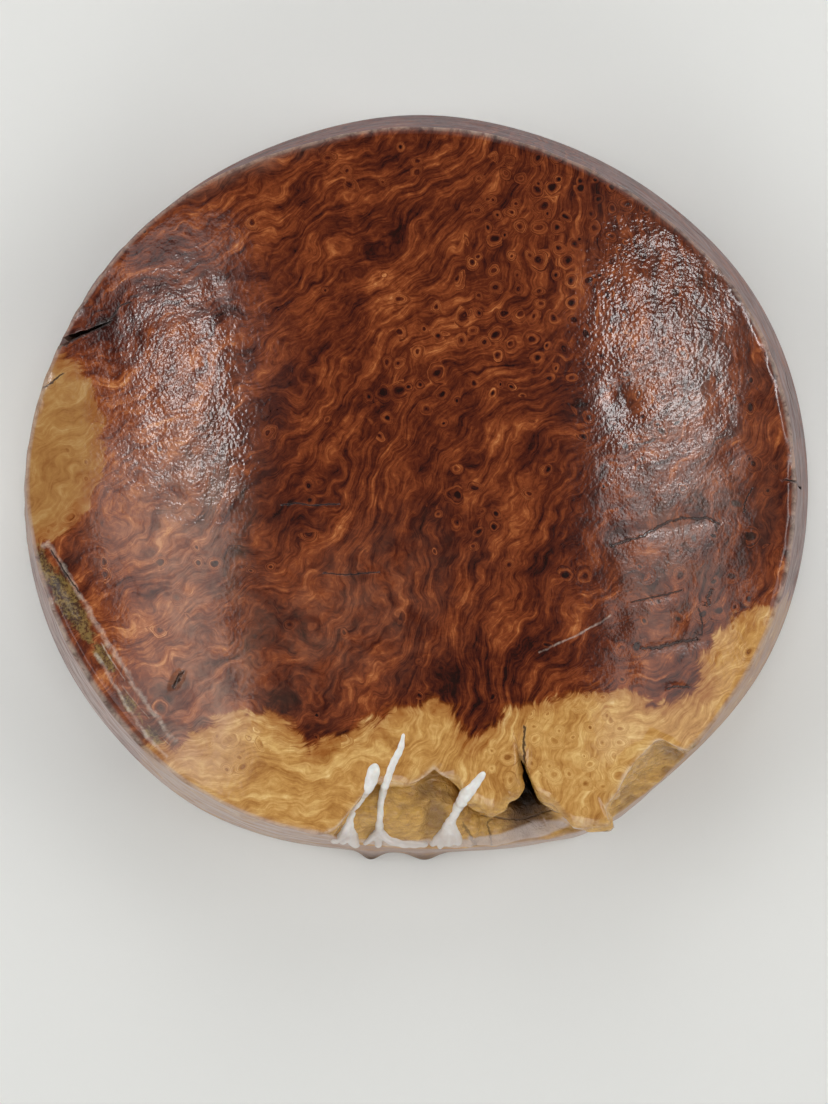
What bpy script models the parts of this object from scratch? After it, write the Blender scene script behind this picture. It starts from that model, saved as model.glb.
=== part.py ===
"""Mallee burl bowl blank: a round sawn slab of burl, sealed with wax, with one natural edge.

+Z is up and the sawn face is on top. The origin is the middle of the sawn foot. The natural
edge, where the burl's own skin shows, is at the front, towards -Y. Lengths below are in
millimetres and angles in degrees, counter-clockwise from +X, until the mesh is made.
"""

import math

import bmesh
import bpy
import numpy as np
from mathutils import Vector
from mathutils.bvhtree import BVHTree

MM = 0.001
NAME = "mallee_burl_bowl_blank"

THICKNESS = 64.0
GAP = 0.3

# Sawn outline of the face and of the foot: (angle, radius)
FACE_OUTLINE = (
    (0, 110.7), (30, 108.8), (50, 105.3), (70, 103.5), (90, 103.3), (110, 103.8), (130, 107.8),
    (150, 110.6), (165, 112.8), (180, 114.6), (190, 114.2), (210, 112.3), (232, 111.7),
    (245, 109.8), (258, 107.4), (270, 107.4), (285, 110.0), (298, 114.0), (312, 112.7), (335, 112.0),
)
FOOT_OUTLINE = (
    (0, 126.8), (30, 125.9), (50, 122.6), (70, 120.6), (90, 120.5), (110, 119.8), (130, 121.3),
    (150, 123.5), (165, 125.4), (180, 127.0), (200, 127.8), (220, 126.9), (236, 125.9),
    (248, 122.9), (258, 120.0), (276, 118.9), (288, 122.0), (300, 125.6), (308, 124.4), (335, 126.8),
)

# Natural edge of the face, from the left end to the right end: (angle, radius)
NATURAL_EDGE = (
    (253.0, 107.8), (256.5, 105.2), (258.4, 99.3), (260.0, 94.4), (261.7, 89.3), (265.0, 89.4),
    (268.2, 89.2), (270.4, 87.9), (271.8, 86.3), (273.4, 84.6), (274.8, 86.6), (276.1, 88.4),
    (277.7, 90.8), (278.9, 95.6), (280.8, 98.5), (283.1, 100.8), (284.6, 100.0), (285.9, 98.2),
    (287.8, 96.6), (289.5, 92.1), (290.6, 87.4), (291.0, 100.8), (292.0, 103.0), (293.3, 105.7),
    (294.3, 111.6), (295.6, 113.1), (297.5, 114.7), (299.2, 115.6), (299.8, 111.2), (302.5, 108.8),
    (304.6, 106.5), (306.9, 104.9), (309.3, 104.1), (312.0, 103.7), (313.3, 104.9), (314.0, 108.2),
    (315.2, 111.8), (317.5, 112.4),
)
NATURAL_START = 253.0
NATURAL_END = 317.5

# Skin of the burl under that edge: (angle, undercut, depth of the cliff's foot,
# depth half way out on the shelf, depth where the shelf meets the sawn wall)
SKIN = (
    (253.0, 0.0, 0.3, 0.5, 0.8), (256.5, 0.2, 2.0, 3.0, 5.0), (258.6, 0.8, 8.0, 8.5, 14.0),
    (261.0, 1.2, 9.0, 8.6, 18.0), (268.0, 1.6, 9.5, 8.8, 20.0), (273.4, 1.6, 10.0, 10.0, 21.0),
    (276.5, 2.0, 11.0, 11.0, 21.0), (278.9, 3.0, 17.0, 16.0, 22.5), (281.0, 5.0, 22.0, 20.0, 24.0),
    (285.0, 7.0, 25.0, 21.0, 25.0), (287.6, 8.0, 31.0, 22.0, 25.0), (289.4, 8.0, 38.0, 24.0, 25.5),
    (290.7, 7.0, 40.0, 25.0, 25.5), (291.4, 11.0, 36.0, 25.0, 25.5), (293.5, 10.0, 27.0, 24.0, 25.0),
    (296.0, 9.0, 23.0, 23.0, 25.0), (299.0, 8.0, 20.0, 22.0, 26.0), (300.5, 4.0, 16.0, 22.0, 27.0),
    (303.5, 0.5, 12.0, 22.0, 29.0), (308.0, -1.0, 11.0, 22.5, 29.0), (311.5, -1.2, 10.0, 21.0, 26.0),
    (313.8, -1.2, 6.0, 13.0, 18.0), (315.5, -0.5, 2.0, 4.0, 8.0), (317.5, 0.0, 0.3, 0.5, 0.8),
)
SAWN_SKIN = (0.0, 0.3, 0.5, 0.8)

# Bark knobs low on the wall: (angle, width in degrees, how far they stand out, height)
KNOBS = ((262.9, 1.7, 2.6, 13.0), (271.2, 2.3, 2.4, 11.0))

# Drying checks in the rim: (x, y at the wall; x, y at the inner end; width; height of the lower end)
CHECKS = {
    "rim_check": (-106.5, 39.0, -89.0, 47.4, 2.2, 30.0),
    "wall_check": (114.5, -0.9, 107.0, -0.5, 1.6, 22.0),
}
# Sunken places in the face: (x, y, length, width, depth, turn)
DENTS = {
    "upper_crease": (75.5, -13.6, 31.0, 5.0, 1.4, 9.0),
    "lower_crease": (72.5, -49.5, 19.0, 3.6, 1.2, 8.0),
    "knot_hollow": (80.5, -41.0, 15.0, 9.0, 1.5, 70.0),
}

# Runs of sealing wax, from the face down over the natural edge: (x, y, radius of the bead)
WAX_RUNS = {
    "wax_run_left": (
        (-12.2, -83.9, 0.9), (-12.9, -86.0, 1.9), (-14.2, -89.3, 1.8), (-16.3, -93.4, 1.3),
        (-18.6, -97.6, 1.1), (-20.8, -101.5, 1.2), (-22.6, -105.3, 1.3), (-23.6, -108.0, 0.9),
    ),
    "wax_run_middle": (
        (-4.1, -74.4, 0.6), (-4.8, -78.6, 1.1), (-6.9, -82.8, 1.2), (-8.5, -87.0, 1.3),
        (-10.5, -94.4, 1.1), (-11.0, -99.6, 1.1), (-11.3, -104.4, 1.2), (-11.7, -109.4, 0.9),
    ),
    "wax_run_right": (
        (19.1, -86.5, 0.9), (16.9, -89.3, 1.5), (14.5, -92.4, 1.9), (12.8, -95.8, 1.6),
        (11.1, -99.6, 1.3), (9.2, -104.0, 1.3), (7.9, -107.8, 1.2), (7.4, -110.0, 0.8),
    ),
}
BEAD_STEP = 1.1
BEAD_RISE = -0.3
BEAD_SLACK = 8

WOOD = ("waxed_burl", (0.17, 0.045, 0.022), 0.3)
WAX = ("sealing_wax", (0.80, 0.78, 0.73), 0.4)


def remove_everything():
    for thing in list(bpy.data.objects):
        bpy.data.objects.remove(thing, do_unlink=True)


def collection(name):
    made = bpy.data.collections.new(name)
    bpy.context.scene.collection.children.link(made)
    return made


def material(name, colour, roughness):
    made = bpy.data.materials.new(name)
    made.use_nodes = True
    shader = made.node_tree.nodes["Principled BSDF"]
    shader.inputs["Base Color"].default_value = (*colour, 1.0)
    shader.inputs["Roughness"].default_value = roughness
    shader.inputs["Metallic"].default_value = 0.0
    return made


def through(stations, at, column=1, closed=False, limited=False):
    """A smooth curve through the stations. A limited one never swings past them."""
    table = np.array(stations, float)
    place, value = table[:, 0], table[:, column]
    if closed:
        place = np.concatenate([place[-2:] - 360.0, place, place[:2] + 360.0])
        value = np.concatenate([value[-2:], value, value[:2]])
    step = np.diff(place)
    rise = np.diff(value) / step
    slope = np.zeros(len(place))
    before, after = rise[:-1], rise[1:]
    slope[1:-1] = (before * step[1:] + after * step[:-1]) / (step[1:] + step[:-1])
    if limited:
        turns = before * after <= 0.0
        least = 2.0 * np.minimum(abs(before), abs(after))
        kept = np.sign(before) * np.minimum(abs(slope[1:-1]), least)
        slope[1:-1] = np.where(turns, 0.0, kept)
    at = np.asarray(at, float)
    span = np.clip(np.searchsorted(place, at, side="right") - 1, 0, len(step) - 1)
    t = np.clip((at - place[span]) / step[span], 0.0, 1.0)
    a, b = value[span], value[span + 1]
    da, db = slope[span] * step[span], slope[span + 1] * step[span]
    return a + t * da + t * t * (3 * (b - a) - 2 * da - db) + t ** 3 * (2 * (a - b) + da + db)


def column_angles():
    """Every 4.5 degrees round the sawn wall, and close together along the natural edge."""
    sawn = np.linspace(NATURAL_END - 360.0, NATURAL_START, 67)
    natural = np.linspace(NATURAL_START, NATURAL_END, 61)[1:-1]
    slit = np.array([290.6, 291.0])
    near_slit = abs(natural[:, None] - slit).min(axis=1) < 0.45
    return np.sort(np.concatenate([sawn, natural[~near_slit], slit]) % 360.0)


def is_natural(angles):
    return (angles > NATURAL_START) & (angles < NATURAL_END)


def face_radius(angles):
    sawn = through(FACE_OUTLINE, angles, closed=True)
    natural = through(NATURAL_EDGE, angles, limited=True)
    return np.where(is_natural(angles), natural, sawn)


def wall_radius(angles, depth):
    """The sawn wall runs straight from the face's outline out to the foot's."""
    face = through(FACE_OUTLINE, angles, closed=True)
    foot = through(FOOT_OUTLINE, angles, closed=True)
    radius = face + (foot - face) * depth / THICKNESS
    for angle, width, out, height in KNOBS:
        low = np.clip((depth - THICKNESS + height) / (0.5 * height), 0.0, 1.0)
        radius = radius + out * np.exp(-((angles - angle) / width) ** 2) * low
    return radius


def skin_value(angles, column):
    natural = through(SKIN, angles, column=column, limited=True)
    return np.where(is_natural(angles), natural, SAWN_SKIN[column - 1])


def rows(angles):
    """Rings of (radius, height) from the middle of the face down to the middle of the foot."""
    edge = face_radius(angles)
    undercut, foot_depth, half_depth, rim_depth = (skin_value(angles, c) for c in range(1, 5))
    rim = wall_radius(angles, rim_depth)
    foot = np.where(is_natural(angles), edge - undercut, edge + (rim - edge) * 0.4)
    half = 0.5 * (foot + rim)
    lump = 0.7 * np.sin(np.radians(angles * 23.0)) * is_natural(angles)
    flat = np.zeros_like(angles)
    made = [(flat + 62.0, flat), (flat + 80.0, flat), (edge, flat)]
    made.append((edge + 0.4 * (foot - edge) + 0.8 * is_natural(angles), 0.35 * foot_depth))
    made.append((edge + 0.8 * (foot - edge), 0.75 * foot_depth))
    made.append((foot, foot_depth))
    made.append((foot + 0.5 * (half - foot), foot_depth + 0.7 * (half_depth - foot_depth) + lump * 0.5))
    made.append((half, half_depth + lump))
    made.append((half + 0.6 * (rim - half), half_depth + 0.4 * (rim_depth - half_depth)))
    made.append((rim, rim_depth))
    for share in (0.25, 0.5, 0.72, 0.88):
        depth = rim_depth + share * (THICKNESS - rim_depth)
        made.append((wall_radius(angles, depth), depth))
    made.append((wall_radius(angles, THICKNESS - 0.8), flat + THICKNESS - 0.8))
    made.append((wall_radius(angles, THICKNESS) - 0.8, flat + THICKNESS))
    made.append((0.7 * through(FOOT_OUTLINE, angles, closed=True), flat + THICKNESS))
    return made


def burl_mesh():
    """A loft of those rings, closed by one flat face on top and one underneath."""
    angles = column_angles()
    turn = np.radians(angles)
    mesh = bmesh.new()
    rings = []
    for radius, depth in rows(angles):
        points = zip(radius * np.cos(turn), radius * np.sin(turn), THICKNESS - depth)
        rings.append([mesh.verts.new((x * MM, y * MM, z * MM)) for x, y, z in points])
    count = len(angles)
    for upper, lower in zip(rings, rings[1:]):
        for i in range(count):
            j = (i + 1) % count
            mesh.faces.new((upper[i], lower[i], lower[j], upper[j]))
    mesh.faces.new(rings[0])
    mesh.faces.new(rings[-1][::-1])
    bmesh.ops.recalc_face_normals(mesh, faces=mesh.faces)
    made = bpy.data.meshes.new("burl_blank")
    mesh.to_mesh(made)
    mesh.free()
    return made


def cutter(thing, home):
    thing.hide_render = True
    thing.display_type = "WIRE"
    for holder in list(thing.users_collection):
        holder.objects.unlink(thing)
    home.objects.link(thing)
    return thing


def check_cutter(name, values, home):
    """A thin blade, widest at the wall and closing to an edge at its inner end."""
    x, y, inner_x, inner_y, width, low = values
    run = math.hypot(inner_x - x, inner_y - y)
    across = np.array([-(inner_y - y), inner_x - x]) / run * 0.5 * width
    out = np.array([x - inner_x, y - inner_y]) / run
    start = np.array([x, y]) + out * 14.0
    inner = np.array([inner_x, inner_y])
    bottom = start - out * 4.0
    mesh = bmesh.new()
    top = [mesh.verts.new((*p, THICKNESS + 3.0)) for p in (start + across, inner, start - across)]
    base = [mesh.verts.new((*p, low)) for p in (start + across * 0.3, bottom, start - across * 0.3)]
    mesh.faces.new(top)
    mesh.faces.new(base[::-1])
    for i in range(3):
        j = (i + 1) % 3
        mesh.faces.new((top[i], base[i], base[j], top[j]))
    bmesh.ops.recalc_face_normals(mesh, faces=mesh.faces)
    bmesh.ops.scale(mesh, vec=(MM, MM, MM), verts=mesh.verts)
    made = bpy.data.meshes.new(name)
    mesh.to_mesh(made)
    mesh.free()
    thing = bpy.data.objects.new(name, made)
    bpy.context.scene.collection.objects.link(thing)
    return cutter(thing, home)


def dent_cutter(name, values, home):
    """A flattened ball whose underside makes a shallow hollow in the face."""
    x, y, length, width, depth, turn = values
    ball = 6.0
    sunk = depth / (1.0 - math.sqrt(1.0 - 0.8 ** 2))
    mesh = bmesh.new()
    bmesh.ops.create_uvsphere(mesh, u_segments=16, v_segments=12, radius=ball)
    size = (length / (1.6 * ball), width / (1.6 * ball), sunk / ball)
    bmesh.ops.scale(mesh, vec=size, verts=mesh.verts)
    bmesh.ops.scale(mesh, vec=(MM, MM, MM), verts=mesh.verts)
    made = bpy.data.meshes.new(name)
    mesh.to_mesh(made)
    mesh.free()
    thing = bpy.data.objects.new(name, made)
    thing.location = (x * MM, y * MM, (THICKNESS + sunk - depth) * MM)
    thing.rotation_euler = (0.0, 0.0, math.radians(turn))
    bpy.context.scene.collection.objects.link(thing)
    return cutter(thing, home)


def knob_hollow_cutter(home):
    """The dark scoop under the left bark knob."""
    angle = math.radians(KNOBS[0][0] + 0.6)
    radius = 122.6
    place = (radius * math.cos(angle) * MM, radius * math.sin(angle) * MM, 5.0 * MM)
    bpy.ops.mesh.primitive_uv_sphere_add(segments=14, ring_count=10, radius=3.2 * MM, location=place)
    thing = bpy.context.object
    thing.name = "knob_hollow"
    return cutter(thing, home)


def cut(body, tool):
    step = body.modifiers.new(tool.name, "BOOLEAN")
    step.operation = "DIFFERENCE"
    step.object = tool
    step.solver = "EXACT"


def evaluated_copy(thing, name):
    bpy.context.view_layer.update()
    ready = thing.evaluated_get(bpy.context.evaluated_depsgraph_get())
    mesh = bpy.data.meshes.new_from_object(ready)
    mesh.name = name
    return mesh


def make_burl(home, cutters):
    mesh = burl_mesh()
    burl = bpy.data.objects.new("burl_blank", mesh)
    home.objects.link(burl)
    tools = [check_cutter(name, values, cutters) for name, values in CHECKS.items()]
    tools += [dent_cutter(name, values, cutters) for name, values in DENTS.items()]
    tools.append(knob_hollow_cutter(cutters))
    for tool in tools:
        cut(burl, tool)
    mesh.materials.append(material(*WOOD))
    return burl


def wax_clearance(burl, cutters):
    """The blank swollen by the gap, which cuts the wax to lie on the wood."""
    mesh = evaluated_copy(burl, "wax_clearance")
    normals = [vertex.normal.copy() for vertex in mesh.vertices]
    for vertex, normal in zip(mesh.vertices, normals):
        vertex.co += normal * GAP * MM
    thing = bpy.data.objects.new("wax_clearance", mesh)
    bpy.context.scene.collection.objects.link(thing)
    return cutter(thing, cutters)


def bead_points(route, wood):
    """The route drawn finely, lying on the wood and rounding the corners below its edge."""
    table = np.array(route)
    along = np.concatenate([[0.0], np.cumsum(np.hypot(*np.diff(table[:, :2], axis=0).T))])
    fine = np.linspace(0.0, along[-1], int(along[-1] / BEAD_STEP) + 1)
    placed = np.column_stack([along, table])
    x, y, radius = (through(placed, fine, column=c) for c in (1, 2, 3))
    start = 2.0 * THICKNESS * MM
    down = Vector((0.0, 0.0, -1.0))
    hits = [wood.ray_cast(Vector((a * MM, b * MM, start)), down)[0] for a, b in zip(x, y)]
    rest = np.array([hit.z / MM for hit in hits]) + BEAD_RISE * radius
    height = rest.copy()
    for _ in range(BEAD_SLACK):
        height[1:-1] = np.maximum(rest[1:-1], 0.5 * (height[:-2] + height[2:]))
    return np.column_stack([x, y, height, radius])


def make_wax_run(name, route, wood, clearance, finish, home):
    shape = bpy.data.curves.new(name, "CURVE")
    shape.dimensions = "3D"
    shape.bevel_depth = MM
    shape.bevel_resolution = 2
    shape.use_fill_caps = True
    line = shape.splines.new("POLY")
    points = bead_points(route, wood)
    line.points.add(len(points) - 1)
    for point, (x, y, z, radius) in zip(line.points, points):
        point.co = (x * MM, y * MM, z * MM, 1.0)
        point.radius = radius
    tube = bpy.data.objects.new(name + "_curve", shape)
    home.objects.link(tube)
    mesh = evaluated_copy(tube, name)
    welded = bmesh.new()
    welded.from_mesh(mesh)
    bmesh.ops.remove_doubles(welded, verts=welded.verts, dist=0.00001)
    welded.to_mesh(mesh)
    welded.free()
    bead = bpy.data.objects.new(name, mesh)
    bead.matrix_world = tube.matrix_world
    bpy.data.objects.remove(tube, do_unlink=True)
    home.objects.link(bead)
    cut(bead, clearance)
    mesh.materials.clear()
    mesh.materials.append(finish)
    mesh.shade_smooth()


def main():
    remove_everything()
    home = collection(NAME)
    cutters = collection("cutters")
    burl = make_burl(home, cutters)
    clearance = wax_clearance(burl, cutters)
    wood = BVHTree.FromPolygons(
        [vertex.co for vertex in clearance.data.vertices],
        [face.vertices for face in clearance.data.polygons],
    )
    finish = material(*WAX)
    for name, route in WAX_RUNS.items():
        make_wax_run(name, route, wood, clearance, finish, home)


main()
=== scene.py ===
"""Dresses the mallee burl bowl blank: waxed burl with its figure, natural edge and wax runs.

Lengths are in millimetres and angles in degrees, counter-clockwise from +X, until a mesh is
made. +X is the photograph's right, +Y its top, and the sawn face is at THICKNESS.
"""

import math

import bmesh
import bpy
import numpy as np
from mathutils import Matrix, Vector
from mathutils.bvhtree import BVHTree


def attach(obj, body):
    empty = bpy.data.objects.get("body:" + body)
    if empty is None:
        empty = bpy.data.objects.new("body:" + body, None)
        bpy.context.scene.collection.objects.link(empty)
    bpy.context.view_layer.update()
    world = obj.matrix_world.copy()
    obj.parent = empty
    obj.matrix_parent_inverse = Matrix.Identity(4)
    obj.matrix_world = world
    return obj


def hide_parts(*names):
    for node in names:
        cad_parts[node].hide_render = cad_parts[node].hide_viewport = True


MM = 0.001
THICKNESS = 64.0

# The camera looks straight down from here
CAMERA_ABOVE_FACE = 600.0
VIEW_WIDTH = 242.5
NADIR = (-0.9, -21.15)
SENSOR = 36.0

# Brightness of the room at the sides and above
WALLS = 0.66
CEILING = 0.09
CEILING_FROM = 0.65

# The floor, in metres
FLOOR_RADIUS = 1.15
FLOOR_COLOUR = (0.84, 0.845, 0.82)

# Ceiling strips that show in the wax: (name, x and y from the camera, width, length,
# radiance), in metres, STRIP_HEIGHT above the face
STRIP_HEIGHT = 1.0
STRIPS = (
    ("tube_left", -0.172, 0.125, 0.038, 0.12, 14.0),
    ("tube_right", 0.196, 0.160, 0.045, 0.12, 13.5),
    ("tube_right_low", 0.188, 0.070, 0.050, 0.10, 4.0),
    ("panel_left", -0.190, 0.040, 0.095, 0.42, 1.55),
    ("panel_left_low", -0.176, -0.080, 0.050, 0.24, 2.4),
    ("panel_right", 0.201, 0.025, 0.106, 0.39, 1.35),
)

# Square soft lights round the blank: (name, place, radiance), in metres
SOFT_SIDE = 0.9
SOFT_LIGHTS = (
    ("soft_left", (-1.1, 0.1, 0.95), 2.75),
    ("soft_right", (1.1, 0.1, 0.95), 2.75),
    ("soft_back", (0.0, 1.15, 0.95), 2.75),
    ("soft_front", (0.0, -1.25, 0.9), 2.5),
)

# Sawn outline of the face and of the foot: (angle, radius)
FACE_OUTLINE = (
    (0, 110.7), (30, 108.8), (50, 105.3), (70, 103.5), (90, 103.3), (110, 103.8), (130, 107.8),
    (150, 110.6), (165, 112.8), (180, 114.6), (190, 114.2), (210, 112.3), (232, 111.7),
    (245, 109.8), (258, 107.4), (270, 107.4), (285, 110.0), (298, 114.0), (312, 112.7), (335, 112.0),
)
FOOT_OUTLINE = (
    (0, 126.8), (30, 125.9), (50, 122.6), (70, 120.6), (90, 120.5), (110, 119.8), (130, 121.3),
    (150, 123.5), (165, 125.4), (180, 127.0), (200, 127.8), (220, 126.9), (236, 125.9),
    (248, 122.9), (258, 120.0), (276, 118.9), (288, 122.0), (300, 125.6), (308, 124.4), (335, 126.8),
)

# Natural edge of the face, from the left end to the right end: (angle, radius)
NATURAL_EDGE = (
    (253.0, 107.8), (256.5, 105.2), (258.4, 99.3), (260.0, 94.4), (261.7, 89.3), (265.0, 89.4),
    (268.2, 89.2), (270.4, 87.9), (271.8, 86.3), (273.4, 84.6), (274.8, 86.6), (276.1, 88.4),
    (277.7, 90.8), (278.9, 95.6), (280.8, 98.5), (283.1, 100.8), (284.6, 100.0), (285.9, 98.2),
    (287.8, 96.6), (289.5, 92.1), (290.6, 87.4), (291.0, 100.8), (292.0, 103.0), (293.3, 105.7),
    (294.3, 111.6), (295.6, 113.1), (297.5, 114.7), (299.2, 115.6), (299.8, 111.2), (302.5, 108.8),
    (304.6, 106.5), (306.9, 104.9), (309.3, 104.1), (312.0, 103.7), (313.3, 104.9), (314.0, 108.2),
    (315.2, 111.8), (317.5, 112.4),
)
NATURAL_START = 253.0
NATURAL_END = 317.5

# Skin of the burl under that edge: (angle, undercut, depth of the cliff's foot,
# depth half way out on the shelf, depth where the shelf meets the sawn wall)
SKIN = (
    (253.0, 0.0, 0.3, 0.5, 0.8), (256.5, 0.2, 2.0, 3.0, 5.0), (258.6, 0.8, 8.0, 8.5, 14.0),
    (261.0, 1.2, 9.0, 8.6, 18.0), (268.0, 1.6, 9.5, 8.8, 20.0), (273.4, 1.6, 10.0, 10.0, 21.0),
    (276.5, 2.0, 11.0, 11.0, 21.0), (278.9, 3.0, 17.0, 16.0, 22.5), (281.0, 5.0, 22.0, 20.0, 24.0),
    (285.0, 7.0, 25.0, 21.0, 25.0), (287.6, 8.0, 31.0, 22.0, 25.0), (289.4, 8.0, 38.0, 24.0, 25.5),
    (290.7, 7.0, 40.0, 25.0, 25.5), (291.4, 11.0, 36.0, 25.0, 25.5), (293.5, 10.0, 27.0, 24.0, 25.0),
    (296.0, 9.0, 23.0, 23.0, 25.0), (299.0, 8.0, 20.0, 22.0, 26.0), (300.5, 4.0, 16.0, 22.0, 27.0),
    (303.5, 0.5, 12.0, 22.0, 29.0), (308.0, -1.0, 11.0, 22.5, 29.0), (311.5, -1.2, 10.0, 21.0, 26.0),
    (313.8, -1.2, 6.0, 13.0, 18.0), (315.5, -0.5, 2.0, 4.0, 8.0), (317.5, 0.0, 0.3, 0.5, 0.8),
)
ARRIS = 0.3
SAWN_SHARES = (0.375, 0.625, 1.0)
SAWN_BAND = 24.0
SAWN_BAND_EASE = 8.0

# How softly the face rolls over the natural edge: (angle, roll)
EDGE_ROLL = (
    (253, 0.0), (262, 0.5), (274, 0.7), (279, 3.2), (286, 3.6), (290.6, 3.4), (294, 2.2),
    (300, 0.9), (304, 0.15), (317.5, 0.0),
)
ROLL_WIDTH = 8.0

# Bark knobs low on the wall: (angle, width in degrees, how far they stand out, height)
KNOBS = ((262.9, 1.7, 2.6, 13.0), (271.2, 2.3, 2.4, 11.0))

# Drying checks cut into the rim: (x, y at the wall; x, y at the inner end; width; depth)
CHECKS = {
    "rim_check": (-112.0, 36.2, -89.0, 47.4, 2.6, 34.0),
    "wall_check": (119.0, -1.1, 107.0, -0.5, 1.7, 42.0),
}
CHECK_STEPS = 16
CHECK_ABOVE = 2.0
CHECK_LIP = 0.7
KNOB_HOLLOW = (122.6, 263.5, 5.0, 3.2)

# Sunken places, and with a depth below zero raised ones: (x, y, length, width, depth, turn)
DENTS = (
    (75.5, -13.6, 34.0, 4.0, 0.12, 9.0), (71.0, -34.4, 18.0, 3.0, 0.15, 10.0),
    (73.5, -48.6, 22.0, 3.6, 0.18, 8.0), (80.5, -41.0, 17.0, 11.0, 0.28, 70.0),
    (76.5, -61.0, 9.0, 2.6, 0.15, 5.0), (-70.2, -58.7, 5.5, 1.3, 0.35, 64.0),
    (-102.5, -32.0, 24.0, 6.0, 0.12, 122.0), (60.5, 24.0, 10.0, 7.0, 0.3, 120.0),
    (16.6, -106.0, 9.0, 2.4, -2.4, 75.0), (20.2, -104.0, 8.0, 2.0, -2.0, 80.0),
    (31.5, -80.5, 8.0, 1.8, 1.0, 88.0), (43.5, -94.0, 14.0, 4.0, 0.5, 100.0),
)

# Where the pebbles in the wax stand up most: (x, y, half length, half width, turn, share)
STEEP_PEBBLES = (
    (68, 44, 30, 17, 95, 1.15), (66, 8, 20, 12, 90, 0.45), (-66, 25, 27, 11, 107, 1.2),
    (-82, 27, 26, 14, 100, 0.35), (96, 62, 24, 7, 118, 0.35),
)

# Grain of the face: (x, y, angle the fibres run at)
GRAIN = (
    (-75, 65, 20), (-85, 20, 24), (-82, -25, 30), (-88, -62, 38), (-45, 80, 14), (-42, 40, 26),
    (-40, 0, 33), (-45, -42, 28), (-42, -85, 12), (0, 92, 8), (-2, 50, 28), (0, 10, 60),
    (2, -30, 92), (-5, -70, 80), (30, 75, 60), (35, 35, 30), (32, -5, 75), (28, -45, 84),
    (35, -85, 70), (65, 75, 120), (70, 30, 75), (62, -20, 62), (68, -60, 20), (95, 45, 110),
    (100, -5, 80), (92, -50, 50),
)
GRAIN_REACH = 21.0

# Lighter and darker places: (x, y, half length, half width, turn, tone, darker below 0)
PATCHES = (
    (6, 45, 26, 15, 10, 0.85), (29, -7, 9, 7, 60, 0.7), (-5, -40, 11, 6, 80, 0.6),
    (-50, 74, 40, 12, 18, 0.35), (-82, -35, 28, 20, 60, 1.3), (-84, 18, 26, 18, 60, 1.9),
    (-86, -56, 15, 12, 60, 1.5), (-28, -41, 26, 18, 30, 0.4),
    (22, 12, 14, 7, 40, 0.45), (50, -37, 14, 8, 70, 0.45), (-22, 10, 18, 6, 30, 0.3),
    (-48, -66, 18, 6, 14, 0.25), (60, -62, 14, 6, 20, 0.5), (36, 88, 16, 8, 30, -0.25),
    (5.5, -17, 20, 5, 96, -1.0), (10, -1, 9, 4, 20, -0.8), (35, -48, 6, 5, 0, -0.9),
    (50, 0, 38, 7, 92, -0.55), (104, -5, 24, 9, 95, -0.35), (-26, 37, 24, 8, 30, -0.45),
    (-46, -8, 34, 8, 70, -0.55), (-70, 53, 17, 5, 10, -0.7), (-26, -57, 28, 7, 6, -0.4),
    (21, -64, 11, 6, 100, -0.95), (-14, 2, 20, 7, 30, -0.3), (60, 24, 7, 5, 120, -0.9),
    (-37, -63, 6, 4, 60, -0.8), (0, -52, 16, 4, 90, -0.6), (84, 60, 22, 10, 130, -0.3),
    (75, -25, 22, 14, 0, -0.2),
)

# Where burl eyes crowd: (x, y, reach, share of them there)
EYES = (
    (42, 78, 27, 1.0), (32, 42, 24, 0.75), (62, 30, 22, 0.6), (88, 5, 26, 0.45), (2, 30, 22, 0.5),
    (18, -8, 14, 0.45), (-52, -80, 9, 0.9), (46, -78, 15, 0.9), (-26, -72, 6, 0.7),
    (80, -35, 16, 0.5), (-58, -30, 14, 0.3), (-15, 95, 16, 0.3),
)
EYES_ELSEWHERE = 0.07

# Milky wax on the face: (x, y, half length, half width, turn, strength)
FILM = (
    (-66, -38, 62, 14, 88, 0.9), (-58, -66, 14, 6, 60, 0.8), (-44, 96, 34, 3.5, 22, 1.0),
    (-80, -12, 20, 16, 0, 0.5), (-62, -78, 14, 10, 0, 0.5), (80, 20, 60, 22, 96, 0.35),
    (-24, -42, 34, 20, 30, 0.35), (72, -36, 30, 14, 85, 0.3),
)

# How milky the wax on the sawn wall is: (angle, share)
MILK = (
    (0, 0.40), (40, 0.30), (90, 0.08), (150, 0.10), (185, 0.60), (215, 0.90), (250, 0.95),
    (268, 0.75), (285, 0.90), (300, 0.85), (320, 0.50), (345, 0.50),
)

# Edge of the pale outer wood along the bottom, and round the patch at the left
SAPWOOD_BELOW = (
    (-112, -109), (-84.7, -82.7), (-79.4, -77.1), (-71.2, -78.9), (-64.8, -75.3), (-59.8, -71.2),
    (-52.4, -67.1), (-44.0, -68.9), (-35.7, -74.8), (-31.6, -79.4), (-27.0, -75.3), (-22.3, -74.2),
    (-16.1, -72.1), (-12.0, -69.8), (-7.0, -67.1), (-2.1, -66.3), (3.2, -63.9), (9.1, -67.1),
    (15.5, -75.3), (22.3, -72.1), (27.8, -68.0), (32.8, -64.8), (41.0, -63.0), (54.2, -62.5),
    (60.9, -60.7), (65.6, -62.5), (69.1, -67.1), (77.3, -64.8), (82.0, -60.7), (84.6, -50.7),
    (88.7, -44.3), (93.7, -39.3), (101.1, -37.6), (112.2, -35.2), (150, -44), (150, -170), (-112, -170),
)
SAPWOOD_LEFT = (
    (-150, 44), (-113.4, 37.4), (-104.6, 37.4), (-99.3, 34.5), (-93.5, 27.8), (-91.7, 17.5),
    (-92.0, 7.3), (-93.8, -3.0), (-96.4, -10.3), (-102.8, -15.6), (-112.2, -20.0), (-150, -26),
)

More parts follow.
